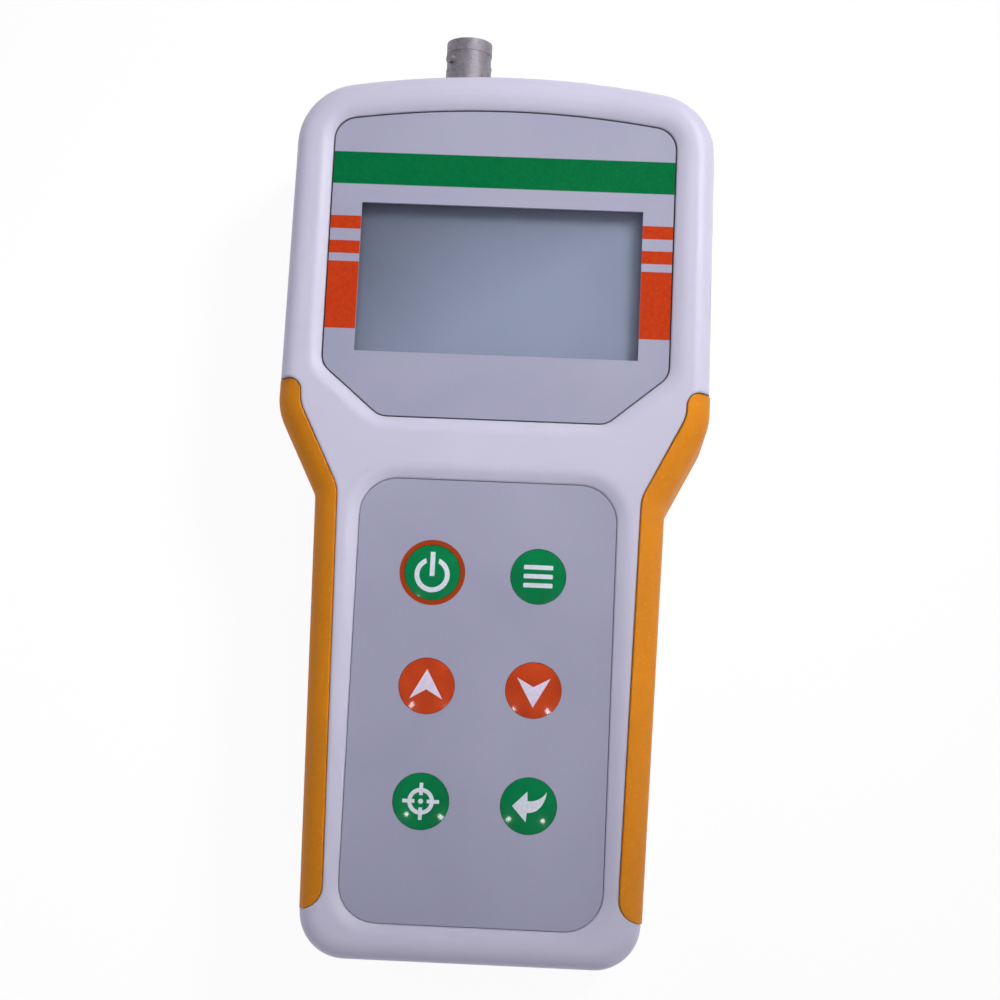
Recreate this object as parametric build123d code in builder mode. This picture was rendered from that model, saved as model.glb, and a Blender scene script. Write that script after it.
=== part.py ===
"""Portable conductivity meter: a hand-held housing with a display, six keys and a bayonet socket.

X runs across the meter, Y along it towards the sensor sockets, Z out of its front face.
The origin is the centre of the flat rear face. All sizes are in millimetres.
"""
import math
import os

from build123d import *

os.makedirs("parts", exist_ok=True)

# Housing outline, seen from the front
head_half_width = 43.4
head_taper = 0.6
head_crown = 4.8
head_corner_radius = 13.0
shoulder_from_top = 71.7
shoulder_share = 0.155
waist_drop = 17.0
waist_share = 0.038
handle_taper = 1.9
foot_corner_radius = 9.0

# Housing section
parting_height = 9.0
front_edge_radius = 3.6
rear_edge_radius = 5.0
side_wall = 3.6
end_wall = 5.0
rear_wall = 2.4

# Rubber grips, let into both long edges
grip_width = 4.6
grip_depth = 1.6
grip_proud = 0.4
grip_side_proud = 0.35
grip_roundness = 6.4
grip_floor = 7.0
grip_top_straight = 0.3
grip_foot_straight = 0.25
grip_edge_radius = 0.9
grip_top_corner = 2.8
grip_foot_corner = 4.4
grip_gap = 0.1

# Display panel, a printed plate with a straight-cut foot and an arched head
panel_gap = 0.3
panel_sink = 1.2
panel_from_top = 8.15
panel_length = 64.4
panel_side_margin = 7.9
panel_crown = 3.0
panel_corner_radius = 4.6
panel_cut_width = 12.1
panel_cut_height = 10.2
panel_cut_radius = 4.0
panel_thickness = 0.5
panel_bevel = 2.0

# Display window and what lies under it
window_side_margin = 6.2
window_height = 31.1
window_from_panel_top = 20.15
window_lap = 2.0
window_thickness = 1.2
ledge_thickness = 1.3
window_gap = 0.15
view_margin = 0.6
glass_margin = 3.3
glass_thickness = 2.2
foam_thickness = 0.6
foam_margin = 1.3
frame_wall = 1.4
frame_gap = 0.15
zebra_width = 2.0
zebra_inset = 1.7

# Keypad, a flat plate with six round keys
keypad_above_foot = 7.15
keypad_length = 87.4
keypad_side_margin = 7.4
keypad_gap = 0.15
keypad_to_panel = 12.8
keypad_corner_radius = 7.5
keypad_thickness = 0.6
keypad_bevel = 2.2
bevel_depth = 1.1
bevel_soft_radius = 4.0
first_row_from_top = 18.65
row_pitch = 22.54
column_offset = 10.52

# Keys
key_radius = 5.5
key_gap = 0.08
key_rise = 0.45
key_edge_sink = 0.05
key_flange = 0.6
key_flange_thickness = 0.7
key_stem_radius = 2.0
key_travel = 0.5
key_overtravel = 0.1
stem_gap = 0.25

# Tactile switches
switch_size = 6.0
switch_height = 3.5
plunger_radius = 1.7
plunger_gap = 0.1
plunger_sink = 0.9
stem_reach = 0.8

# Circuit board
board_thickness = 1.6
board_to_ceiling = 5.2
bay_to_board = 5.15
board_side_margin = 8.8
board_handle_margin = 7.0
board_from_top = 15.0
board_from_foot = 19.0
board_neck_above_shoulder = 2.0
board_corner_radius = 2.0
board_neck_share = 0.45
post_radius = 2.5
head_post_inset = 7.0
head_post_from_end = 4.5
handle_post_inset = 4.0
handle_post_from_end = 5.0
board_screw_radius = 1.1
board_screw_head_radius = 2.0
board_screw_head_height = 1.4
board_screw_reach = 3.2
screw_gap = 0.05

# Case screws
case_screw_radius = 1.4
case_screw_head_radius = 2.8
case_screw_head_height = 1.8
case_screw_sink = 1.0
case_screw_reach = 9.0
case_boss_radius = 3.4
screw_cross_length = 3.2
screw_cross_width = 0.7
screw_cross_depth = 1.0
head_boss_inset = 7.9
head_boss_from_top = 11.5
neck_boss_below_shoulder = 4.0
neck_boss_inset = 9.6
foot_boss_inset = 5.25
foot_boss_from_foot = 9.0
boss_to_bay = 0.3

# Gasket in the joint between the two shells
gasket_inset = 2.1
gasket_width = 1.0
gasket_height = 0.8
gasket_gap = 0.05

# Bayonet socket
socket_offset = -9.2
socket_height = 18.0
socket_reach = 12.1
socket_rim_radius = 4.83
socket_rim_length = 2.6
socket_waist_radius = 4.7
socket_waist_length = 3.4
socket_barrel_radius = 4.8
socket_bore_radius = 4.07
socket_bore_depth = 5.0
socket_well_radius = 3.9
socket_well_depth = 9.0
socket_flange_radius = 7.2
socket_flange_thickness = 2.0
socket_tail_radius = 4.6
socket_tail_length = 3.5
socket_hole_gap = 0.05
lug_radius = 1.0
lug_reach = 5.5
lug_from_mouth = 4.3
lug_angle = 48.0
insulator_radius = 2.45
insulator_gap = 0.03
contact_radius = 1.05
contact_bore_radius = 0.7
contact_bore_depth = 5.0
contact_sink = 0.3
contact_tail_radius = 0.7
contact_tail_length = 4.5
nut_recess_depth = 2.9
nut_recess_radius = 8.4
nut_across_flats = 13.6
nut_thickness = 2.2
washer_thickness = 0.5
washer_radius = 6.4
socket_panel_thickness = 3.0
socket_boss_radius = 8.8

# Temperature sensor socket
jack_offset = 12.0
jack_bore_radius = 1.8
jack_bore_depth = 14.0
jack_collar_radius = 3.0
jack_recess_depth = 2.0
jack_recess_radius = 5.0
jack_nut_radius = 4.4
jack_nut_thickness = 1.0
jack_collar_reach = 0.1
jack_body_width = 9.0
jack_body_length = 13.0
jack_body_corner = 1.0

# Battery bay, cells and door
cell_count = 3
cell_radius = 7.25
cell_length = 50.5
cell_nub_radius = 2.75
cell_nub_length = 1.2
cell_spacing = 0.4
leaf_height = 4.0
leaf_width = 6.0
leaf_thickness = 0.3
plate_thickness = 0.4
plate_size = 9.0
leaf_half_height = 3.6
leaf_crest = 2.0
bay_wall = 1.5
bay_gap = 0.3
bay_rail_width = 0.8
bay_rail_height = 1.0
bay_clearance = 0.15
door_sink = 0.25
door_thickness = 2.0
door_gap = 0.15
door_lip = 1.1
door_tongue = 1.25
door_tongue_sink = 1.0
door_groove_count = 5
door_groove_pitch = 2.4
door_groove_width = 1.0
door_groove_depth = 0.6
door_groove_length = 16.0
door_grooves_from_end = 9.0

# Chips and capacitors under the board
chip_height = 1.4
processor_size = 10.0
processor_offset = 0.0
converter_size = 7.0
converter_from_head = 12.0
capacitor_radius = 2.5
capacitor_height = 4.5
capacitor_offset = 16.0

# Leads
lead_radius = 0.6
tag_width = 2.4
tag_rise = 1.6
tag_gap = 0.1
lead_bend = 2.4
lead_bend_small = 1.0
lead_run = 4.0
lead_straight = 0.15
lead_landing = 3.0

# Half height of the band in which an outline's corner is looked for
corner_tolerance = 0.01

# Worked-out sizes and places
housing_length = panel_from_top + panel_length + keypad_to_panel + keypad_length + keypad_above_foot
half_length = housing_length / 2
shoulder_y = half_length - shoulder_from_top
waist_y = shoulder_y - waist_drop
bay_half_width = cell_count * cell_radius + (cell_count + 1) * cell_spacing / 2
foot_half_width = bay_half_width + bay_wall + boss_to_bay + case_boss_radius + foot_boss_inset
waist_half_width = foot_half_width + handle_taper
head_top_half_width = head_half_width - head_taper
slope_length = math.hypot(head_half_width - waist_half_width, waist_drop)
slope_lean = math.atan2(head_half_width - waist_half_width, waist_drop)
head_lean = math.atan2(head_taper, shoulder_from_top - head_crown)
handle_lean = math.atan2(handle_taper, waist_y + half_length)
shoulder_radius = shoulder_share * slope_length / math.tan((slope_lean + head_lean) / 2)
waist_radius = waist_share * slope_length / math.tan((slope_lean - handle_lean) / 2)
panel_half_width = head_top_half_width - panel_side_margin
window_width = 2 * (panel_half_width - window_side_margin)
zebra_length = window_width - 2 * zebra_inset
keypad_half_width = foot_half_width - keypad_side_margin
board_half_width = head_top_half_width - board_side_margin
board_handle_half_width = foot_half_width - board_handle_margin
board_neck_limit = board_neck_share * (board_half_width - board_handle_half_width)
board_neck_radius = min(board_corner_radius, board_neck_limit)
grip_top = shoulder_y + shoulder_share * slope_length + grip_top_corner + grip_top_straight
grip_foot = foot_corner_radius + grip_foot_straight - half_length
door_top = door_sink + door_thickness
cell_height = door_top + bay_gap + cell_radius
bay_ceiling = cell_height + cell_radius + bay_gap
bay_roof = bay_ceiling + bay_wall
board_underside = bay_roof + bay_to_board
board_top = board_underside + board_thickness
ceiling_height = board_top + board_to_ceiling
window_ledge = ceiling_height + ledge_thickness
panel_floor = window_ledge + window_thickness
panel_surface = panel_floor + panel_thickness
housing_thickness = panel_surface + panel_sink
panel_top = half_length - panel_from_top
panel_foot = panel_top - panel_length
window_y = panel_top - window_from_panel_top - window_height / 2
keypad_foot = keypad_above_foot - half_length
keypad_y = keypad_foot + keypad_length / 2
keypad_floor = panel_surface - keypad_thickness
first_row_y = keypad_foot + keypad_length - first_row_from_top
board_head = half_length - board_from_top
board_foot = board_from_foot - half_length
board_neck = shoulder_y + board_neck_above_shoulder
switch_top = board_top + switch_height
stem_foot = switch_top + stem_reach
flange_top = keypad_floor - key_gap
flange_foot = flange_top - key_flange_thickness
counterbore_floor = flange_foot - key_travel - key_overtravel
mouth_y = half_length + socket_reach
bay_foot = side_wall + bay_clearance + bay_wall - half_length
bay_length = cell_length + leaf_height + 2 * plate_thickness
bay_head = bay_foot + bay_length
door_half_width = bay_half_width - door_tongue
door_head = bay_head - bay_wall
glass_underside = ceiling_height - foam_thickness - glass_thickness
converter_y = board_head - converter_from_head
capacitor_places = [
    (side * capacitor_offset, window_y + step * capacitor_offset / 2) for side in (-1, 1) for step in (-1, 1)
]

key_names = ("power", "menu", "up", "down", "calibrate", "enter")
key_places = [
    ((-column_offset if place % 2 == 0 else column_offset), first_row_y - row_pitch * (place // 2))
    for place in range(len(key_names))
]
head_boss_x = head_half_width - head_boss_inset
neck_boss_y = shoulder_y - neck_boss_below_shoulder
neck_boss_x = head_half_width - neck_boss_inset
foot_boss_x = foot_half_width - foot_boss_inset
foot_boss_y = foot_boss_from_foot - half_length
case_screw_places = [
    (side * x, y)
    for side in (-1, 1)
    for x, y in (
        (head_boss_x, half_length - head_boss_from_top),
        (neck_boss_x, neck_boss_y),
        (foot_boss_x, foot_boss_y),
    )
]
post_places = [
    (side * x, y)
    for side in (-1, 1)
    for x, y in (
        (panel_half_width - head_post_inset, board_head - head_post_from_end),
        (board_handle_half_width - handle_post_inset, board_neck - handle_post_from_end),
        (board_handle_half_width - handle_post_inset, board_foot + handle_post_from_end),
    )
]
cell_places = [
    (place - (cell_count - 1) / 2) * (2 * cell_radius + cell_spacing) for place in range(cell_count)
]


def save(piece, node):
    """Names a finished piece and writes it as a STEP file."""
    piece.part.label = node
    export_step(piece.part, f"parts/{node}.step")


def corners_at(sketch, height):
    """Returns the corners of a sketch that lie at one height."""
    return sketch.vertices().filter_by(lambda corner: abs(corner.Y - height) < corner_tolerance)


# Outlines that several pieces share
with BuildSketch() as housing_outline:
    with BuildLine():
        flank = Polyline(
            (head_top_half_width, half_length - head_crown),
            (head_half_width, shoulder_y),
            (waist_half_width, waist_y),
            (foot_half_width, -half_length),
        )
        mirror(flank, about=Plane.YZ)
        Line((-foot_half_width, -half_length), (foot_half_width, -half_length))
        ThreePointArc(
            (-head_top_half_width, half_length - head_crown),
            (0, half_length),
            (head_top_half_width, half_length - head_crown),
        )
    make_face()
    fillet(corners_at(housing_outline, -half_length), foot_corner_radius)
    fillet(corners_at(housing_outline, waist_y), waist_radius)
    fillet(corners_at(housing_outline, shoulder_y), shoulder_radius)
    fillet(corners_at(housing_outline, half_length - head_crown), head_corner_radius)

with BuildSketch() as panel_outline:
    with BuildLine():
        flank = Polyline(
            (panel_half_width, panel_top - panel_crown),
            (panel_half_width, panel_foot + panel_cut_height),
            (panel_half_width - panel_cut_width, panel_foot),
        )
        mirror(flank, about=Plane.YZ)
        Line(
            (panel_cut_width - panel_half_width, panel_foot),
            (panel_half_width - panel_cut_width, panel_foot),
        )
        ThreePointArc(
            (-panel_half_width, panel_top - panel_crown),
            (0, panel_top),
            (panel_half_width, panel_top - panel_crown),
        )
    make_face()
    fillet(corners_at(panel_outline, panel_top - panel_crown), panel_corner_radius)
    fillet(corners_at(panel_outline, panel_foot), panel_cut_radius)
    fillet(corners_at(panel_outline, panel_foot + panel_cut_height), panel_cut_radius)

with BuildSketch() as keypad_outline:
    with Locations((0, keypad_y)):
        RectangleRounded(2 * keypad_half_width, keypad_length, keypad_corner_radius)

# Plan view of the right grip: the strip between the housing's edge and a line inside it
with BuildSketch() as grip_plan:
    add(housing_outline.sketch)
    offset(amount=2 * grip_width)
    add(housing_outline.sketch)
    with Locations(((head_half_width + grip_width) / 2, (grip_top + grip_foot) / 2)):
        Rectangle(head_half_width + grip_width, grip_top - grip_foot, mode=Mode.INTERSECT)
    with BuildSketch(mode=Mode.SUBTRACT):
        add(housing_outline.sketch)
        offset(amount=-grip_width)
    fillet(corners_at(grip_plan, grip_foot).sort_by(Axis.X)[0], grip_foot_corner)
    fillet(corners_at(grip_plan, grip_top).sort_by(Axis.X)[0], grip_top_corner)

# The whole housing as one rounded body
with BuildPart() as housing_block:
    with BuildSketch():
        add(housing_outline.sketch)
    extrude(amount=housing_thickness)
    fillet(housing_block.edges().group_by(Axis.Z)[-1], front_edge_radius)
    fillet(housing_block.edges().group_by(Axis.Z)[0], rear_edge_radius)

# What lies inside the grips, once with their running gap and once without it
with BuildPart() as groove_core:
    with BuildSketch():
        add(housing_outline.sketch)
        offset(amount=-grip_depth - grip_gap)
    extrude(amount=housing_thickness - grip_depth - grip_gap)
    fillet(groove_core.edges().group_by(Axis.Z)[-1], front_edge_radius - grip_depth - grip_gap)

with BuildPart() as grip_core:
    with BuildSketch():
        add(housing_outline.sketch)
        offset(amount=-grip_depth)
    extrude(amount=housing_thickness - grip_depth)
    fillet(grip_core.edges().group_by(Axis.Z)[-1], front_edge_radius - grip_depth)

# The grips' outer skin, a little proud of the housing
with BuildPart() as grip_skin:
    with BuildSketch():
        add(housing_outline.sketch)
        offset(amount=grip_side_proud)
    extrude(amount=housing_thickness + grip_proud)
    fillet(grip_skin.edges().group_by(Axis.Z)[-1], grip_roundness)

# The groove that the grips lie in, as a solid to be cut from the shells
with BuildPart() as grip_groove:
    with BuildSketch(Plane.XY.offset(grip_floor - grip_gap)):
        add(grip_plan.sketch)
        offset(amount=grip_gap)
    extrude(amount=housing_thickness)
    add(groove_core.part, mode=Mode.SUBTRACT)
    mirror(about=Plane.YZ)

with BuildPart() as grip_right:
    with BuildSketch(Plane.XY.offset(grip_floor)):
        add(grip_plan.sketch)
    extrude(amount=housing_thickness + grip_proud - grip_floor)
    rim = grip_right.faces().sort_by(Axis.Z)[-1].edges()
    fillet(rim.sort_by(Axis.X)[0], grip_edge_radius)
    add(grip_skin.part, mode=Mode.INTERSECT)
    add(grip_core.part, mode=Mode.SUBTRACT)
save(grip_right, "grip_right")

with BuildPart() as grip_left:
    add(mirror(grip_right.part, about=Plane.YZ, mode=Mode.PRIVATE))
save(grip_left, "grip_left")

# Planes square to the top end of the housing, one through the axis of each socket
socket_plane = Plane(origin=(socket_offset, 0, socket_height), x_dir=(1, 0, 0), z_dir=(0, 1, 0))
jack_plane = Plane(origin=(jack_offset, 0, socket_height), x_dir=(1, 0, 0), z_dir=(0, 1, 0))
nut_seat_y = half_length - nut_recess_depth
flange_seat_y = nut_seat_y - socket_panel_thickness
jack_seat_y = half_length - jack_recess_depth
jack_mouth_y = jack_seat_y + jack_nut_thickness + jack_collar_reach
end_wall_y = half_length - end_wall

# Front shell: a deep tub that carries the display, the keys, the sockets and the board
with BuildPart() as front_shell:
    add(housing_block.part)
    split(bisect_by=Plane.XY.offset(parting_height), keep=Keep.TOP)
    # The hollow inside, flat where the sockets seat
    with BuildSketch(Plane.XY.offset(parting_height)):
        add(housing_outline.sketch)
        offset(amount=-side_wall)
        with Locations((0, end_wall_y)):
            Rectangle(housing_length, end_wall, align=(Align.CENTER, Align.MIN), mode=Mode.SUBTRACT)
    extrude(amount=ceiling_height - parting_height, mode=Mode.SUBTRACT)
    # Pocket and sloped surround of the display panel
    with BuildSketch(Plane.XY.offset(panel_floor)):
        add(panel_outline.sketch)
        offset(amount=panel_gap)
    extrude(amount=housing_thickness - panel_floor, mode=Mode.SUBTRACT)
    front_face = front_shell.faces().sort_by(Axis.Z)[-1]
    panel_rim = front_face.inner_wires()[0]
    chamfer(panel_rim.edges(), length=panel_bevel, length2=bevel_depth, reference=front_face)
    # Pocket and sloped surround of the keypad
    with BuildSketch(Plane.XY.offset(keypad_floor)):
        add(keypad_outline.sketch)
        offset(amount=keypad_gap)
    extrude(amount=housing_thickness - keypad_floor, mode=Mode.SUBTRACT)
    front_face = front_shell.faces().sort_by(Axis.Z)[-1]
    keypad_rim = front_face.inner_wires().sort_by(Axis.Y)[0]
    chamfer(keypad_rim.edges(), length=keypad_bevel, length2=bevel_depth, reference=front_face)
    front_face = front_shell.faces().sort_by(Axis.Z)[-1]
    pocket_rims = [edge for wire in front_face.inner_wires() for edge in wire.edges()]
    fillet(pocket_rims, bevel_soft_radius)
    # Seat of the window and the view through to the display
    with BuildSketch(Plane.XY.offset(window_ledge)):
        with Locations((0, window_y)):
            Rectangle(
                window_width + 2 * window_lap + 2 * window_gap,
                window_height + 2 * window_lap + 2 * window_gap,
            )
    extrude(amount=window_thickness, mode=Mode.SUBTRACT)
    with BuildSketch(Plane.XY.offset(ceiling_height)):
        with Locations((0, window_y)):
            Rectangle(window_width + 2 * view_margin, window_height + 2 * view_margin)
    extrude(amount=window_ledge - ceiling_height, mode=Mode.SUBTRACT)
    # Counterbores for the key flanges and holes for their stems
    with BuildSketch(Plane.XY.offset(counterbore_floor)):
        with Locations(*key_places):
            Circle(key_radius + key_flange + stem_gap)
    extrude(amount=keypad_floor - counterbore_floor, mode=Mode.SUBTRACT)
    with BuildSketch(Plane.XY.offset(ceiling_height)):
        with Locations(*key_places):
            Circle(key_stem_radius + stem_gap)
    extrude(amount=counterbore_floor - ceiling_height, mode=Mode.SUBTRACT)
    # Bosses for the case screws and posts for the board
    with BuildSketch(Plane.XY.offset(parting_height)):
        with Locations(*case_screw_places):
            Circle(case_boss_radius)
    extrude(amount=ceiling_height - parting_height)
    with BuildSketch(Plane.XY.offset(parting_height)):
        with Locations(*case_screw_places):
            Circle(case_screw_radius + screw_gap)
    extrude(amount=case_screw_reach + screw_gap, mode=Mode.SUBTRACT)
    with BuildSketch(Plane.XY.offset(board_top)):
        with Locations(*post_places):
            Circle(post_radius)
    extrude(amount=ceiling_height - board_top)
    with BuildSketch(Plane.XY.offset(board_top)):
        with Locations(*post_places):
            Circle(board_screw_radius + screw_gap)
    extrude(amount=board_screw_reach + screw_gap, mode=Mode.SUBTRACT)
    # Thickened seat and holes of the bayonet socket
    with BuildSketch(socket_plane.offset(flange_seat_y)):
        Circle(socket_boss_radius)
    extrude(amount=nut_seat_y - flange_seat_y)
    with BuildSketch(socket_plane.offset(nut_seat_y)):
        Circle(nut_recess_radius)
    extrude(amount=2 * nut_recess_depth, mode=Mode.SUBTRACT)
    with BuildSketch(socket_plane.offset(flange_seat_y)):
        Circle(socket_barrel_radius + socket_hole_gap)
    extrude(amount=socket_panel_thickness, mode=Mode.SUBTRACT)
    # Recess and hole of the temperature socket
    with BuildSketch(jack_plane.offset(jack_seat_y)):
        Circle(jack_recess_radius)
    extrude(amount=2 * jack_recess_depth, mode=Mode.SUBTRACT)
    with BuildSketch(jack_plane.offset(end_wall_y)):
        Circle(jack_collar_radius + socket_hole_gap)
    extrude(amount=jack_seat_y - end_wall_y, mode=Mode.SUBTRACT)
    # Grooves for the grips
    add(grip_groove.part, mode=Mode.SUBTRACT)
save(front_shell, "front_shell")

# Rear shell: a shallow tray with the battery bay
bay_y = (bay_foot + bay_head) / 2
opening_length = door_head + door_gap + half_length + door_gap
opening_y = door_head + door_gap - opening_length / 2
leaf_tags = (
    (cell_places[0], bay_foot + plate_thickness / 2),
    (cell_places[-1], bay_head - plate_thickness / 2),
)

with BuildPart() as rear_shell:
    add(housing_block.part)
    split(bisect_by=Plane.XY.offset(parting_height), keep=Keep.BOTTOM)
    # The hollow inside, with the bosses for the case screws
    with BuildSketch(Plane.XY.offset(rear_wall)):
        add(housing_outline.sketch)
        offset(amount=-side_wall)
        with Locations(*case_screw_places):
            Circle(case_boss_radius, mode=Mode.SUBTRACT)
    extrude(amount=parting_height - rear_wall, mode=Mode.SUBTRACT)
    # Battery bay with its rails, open to the rear
    with BuildSketch(Plane.XY.offset(rear_wall)):
        with Locations((0, bay_y)):
            Rectangle(2 * (bay_half_width + bay_wall), bay_length + 2 * bay_wall)
    extrude(amount=bay_roof - rear_wall)
    with BuildSketch(Plane.XY):
        with Locations((0, bay_y)):
            Rectangle(2 * bay_half_width, bay_length)
    extrude(amount=bay_ceiling, mode=Mode.SUBTRACT)
    with BuildSketch(Plane.XY.offset(door_top + door_gap)):
        with Locations(
            ((bay_rail_width / 2 - bay_half_width), bay_y),
            ((bay_half_width - bay_rail_width / 2), bay_y),
        ):
            Rectangle(bay_rail_width, bay_length)
    extrude(amount=bay_rail_height)
    # Ledge ahead of the door, under the head end of the bay
    with BuildSketch(Plane.XY):
        with Locations((0, (door_head + door_gap + bay_head) / 2)):
            Rectangle(2 * bay_half_width, bay_head - door_head - door_gap)
    extrude(amount=rear_wall)
    # Opening and side grooves of the sliding door
    with BuildSketch(Plane.XY):
        with Locations((0, opening_y)):
            Rectangle(2 * (door_half_width + door_gap), opening_length)
    extrude(amount=door_lip, mode=Mode.SUBTRACT)
    with BuildSketch(Plane.XY.offset(door_lip)):
        with Locations((0, opening_y)):
            Rectangle(2 * bay_half_width, opening_length)
    extrude(amount=door_top + door_gap - door_lip, mode=Mode.SUBTRACT)
    # Slots in the roof of the bay for the two end tags
    with BuildSketch(Plane.XY.offset(bay_ceiling)):
        with Locations(*leaf_tags):
            Rectangle(tag_width + 2 * tag_gap, plate_thickness + 2 * tag_gap)
    extrude(amount=bay_wall, mode=Mode.SUBTRACT)
    # Stepped holes of the case screws
    with BuildSketch(Plane.XY):
        with Locations(*case_screw_places):
            Circle(case_screw_head_radius + screw_gap)
    extrude(amount=case_screw_sink + case_screw_head_height, mode=Mode.SUBTRACT)
    with BuildSketch(Plane.XY):
        with Locations(*case_screw_places):
            Circle(case_screw_radius + screw_gap)
    extrude(amount=parting_height, mode=Mode.SUBTRACT)
    # Groove of the gasket and of the grips
    with BuildSketch(Plane.XY.offset(parting_height - gasket_height)):
        add(housing_outline.sketch)
        offset(amount=gasket_gap - gasket_inset)
        with BuildSketch(mode=Mode.SUBTRACT):
            add(housing_outline.sketch)
            offset(amount=-gasket_inset - gasket_width - gasket_gap)
    extrude(amount=gasket_height, mode=Mode.SUBTRACT)
    add(grip_groove.part, mode=Mode.SUBTRACT)
save(rear_shell, "rear_shell")

# Gasket between the shells
with BuildPart() as shell_gasket:
    with BuildSketch(Plane.XY.offset(parting_height - gasket_height)):
        add(housing_outline.sketch)
        offset(amount=-gasket_inset)
        with BuildSketch(mode=Mode.SUBTRACT):
            add(housing_outline.sketch)
            offset(amount=-gasket_inset - gasket_width)
    extrude(amount=gasket_height)
save(shell_gasket, "shell_gasket")

# Display panel: a printed plate with the view cut out of it
with BuildPart() as display_panel:
    with BuildSketch(Plane.XY.offset(panel_floor)):
        add(panel_outline.sketch)
        with Locations((0, window_y)):
            Rectangle(window_width, window_height, mode=Mode.SUBTRACT)
    extrude(amount=panel_thickness)
save(display_panel, "display_panel")

with BuildPart() as display_window:
    with BuildSketch(Plane.XY.offset(window_ledge)):
        with Locations((0, window_y)):
            Rectangle(window_width + 2 * window_lap, window_height + 2 * window_lap)
    extrude(amount=window_thickness)
save(display_window, "display_window")

# Liquid crystal cell and what carries it
glass_width = window_width + 2 * glass_margin
glass_height = window_height + 2 * glass_margin
frame_width = glass_width + 2 * (frame_gap + frame_wall)
frame_height = glass_height + 2 * (frame_gap + frame_wall)
glass_top = glass_underside + glass_thickness
zebra_y = glass_height / 2 - zebra_width

with BuildPart() as display_foam:
    with BuildSketch(Plane.XY.offset(glass_top)):
        with Locations((0, window_y)):
            Rectangle(frame_width, frame_height)
            Rectangle(
                window_width + 2 * (view_margin + foam_margin),
                window_height + 2 * (view_margin + foam_margin),
                mode=Mode.SUBTRACT,
            )
    extrude(amount=foam_thickness)
save(display_foam, "display_foam")

with BuildPart() as display_glass:
    with BuildSketch(Plane.XY.offset(glass_underside)):
        with Locations((0, window_y)):
            Rectangle(glass_width, glass_height)
    extrude(amount=glass_thickness)
save(display_glass, "display_glass")

with BuildPart() as display_frame:
    with BuildSketch(Plane.XY.offset(board_top)):
        with Locations((0, window_y)):
            RectangleRounded(frame_width, frame_height, frame_wall)
            Rectangle(glass_width + 2 * frame_gap, glass_height + 2 * frame_gap, mode=Mode.SUBTRACT)
    extrude(amount=glass_top - board_top)
save(display_frame, "display_frame")

with BuildPart() as display_backlight:
    with BuildSketch(Plane.XY.offset(board_top)):
        with Locations((0, window_y)):
            Rectangle(window_width, 2 * (zebra_y - zebra_width))
    extrude(amount=glass_underside - board_top)
save(display_backlight, "display_backlight")

with BuildPart() as display_contact_strips:
    with BuildSketch(Plane.XY.offset(board_top)):
        with Locations((0, window_y - zebra_y), (0, window_y + zebra_y)):
            Rectangle(zebra_length, zebra_width)
    extrude(amount=glass_underside - board_top)
save(display_contact_strips, "display_contact_strips")

# Keypad plate, keys and the plungers of their switches
with BuildPart() as keypad_plate:
    with BuildSketch(Plane.XY.offset(keypad_floor)):
        add(keypad_outline.sketch)
        with Locations(*key_places):
            Circle(key_radius + key_gap, mode=Mode.SUBTRACT)
    extrude(amount=keypad_thickness)
save(keypad_plate, "keypad_plate")

for key_name, (key_x, key_y) in zip(key_names, key_places):
    key_axis = Axis((key_x, key_y, 0), (0, 0, 1))
    with BuildPart() as key:
        with BuildSketch(Plane(origin=(key_x, key_y, 0), x_dir=(1, 0, 0), z_dir=(0, -1, 0))):
            with BuildLine():
                Polyline(
                    (0, panel_surface + key_rise),
                    (0, stem_foot),
                    (key_stem_radius, stem_foot),
                    (key_stem_radius, flange_foot),
                    (key_radius + key_flange, flange_foot),
                    (key_radius + key_flange, flange_top),
                    (key_radius, flange_top),
                    (key_radius, panel_surface - key_edge_sink),
                )
                TangentArc(
                    (0, panel_surface + key_rise),
                    (key_radius, panel_surface - key_edge_sink),
                    tangent=(1, 0),
                )
            make_face()
        revolve(axis=key_axis)
    save(key, f"key_{key_name}")
    with BuildPart() as plunger:
        with BuildSketch(Plane(origin=(key_x, key_y, switch_top - plunger_sink))):
            Circle(plunger_radius)
        extrude(amount=stem_foot - switch_top + plunger_sink)
    save(plunger, f"switch_plunger_{key_name}")

with BuildPart() as switch_bodies:
    with BuildSketch(Plane.XY.offset(board_top)):
        with Locations(*key_places):
            Rectangle(switch_size, switch_size)
    extrude(amount=switch_height)
    with BuildSketch(Plane.XY.offset(switch_top)):
        with Locations(*key_places):
            Circle(plunger_radius + plunger_gap)
    extrude(amount=-(plunger_sink + key_travel + key_overtravel), mode=Mode.SUBTRACT)
save(switch_bodies, "switch_bodies")

# Circuit board, wide under the display and narrow in the handle
with BuildPart() as main_board:
    with BuildSketch(Plane.XY.offset(board_underside)) as board_plan:
        with Locations((0, (board_head + board_neck) / 2)):
            Rectangle(2 * board_half_width, board_head - board_neck)
        with Locations((0, (board_neck + board_foot) / 2)):
            Rectangle(2 * board_handle_half_width, board_neck - board_foot)
        fillet(corners_at(board_plan, board_head), board_corner_radius)
        fillet(corners_at(board_plan, board_foot), board_corner_radius)
        fillet(corners_at(board_plan, board_neck), board_neck_radius)
        with Locations(*post_places):
            Circle(board_screw_radius + screw_gap, mode=Mode.SUBTRACT)
    extrude(amount=board_thickness)
save(main_board, "main_board")

# Chips on the underside of the board
with BuildPart() as processor_chip:
    with BuildSketch(Plane.XY.offset(board_underside - chip_height)):
        with Locations((processor_offset, window_y)):
            Rectangle(processor_size, processor_size)
    extrude(amount=chip_height)
save(processor_chip, "processor_chip")

with BuildPart() as converter_chip:
    with BuildSketch(Plane.XY.offset(board_underside - chip_height)):
        with Locations((socket_offset, converter_y)):
            Rectangle(converter_size, converter_size)
    extrude(amount=chip_height)
save(converter_chip, "converter_chip")

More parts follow.
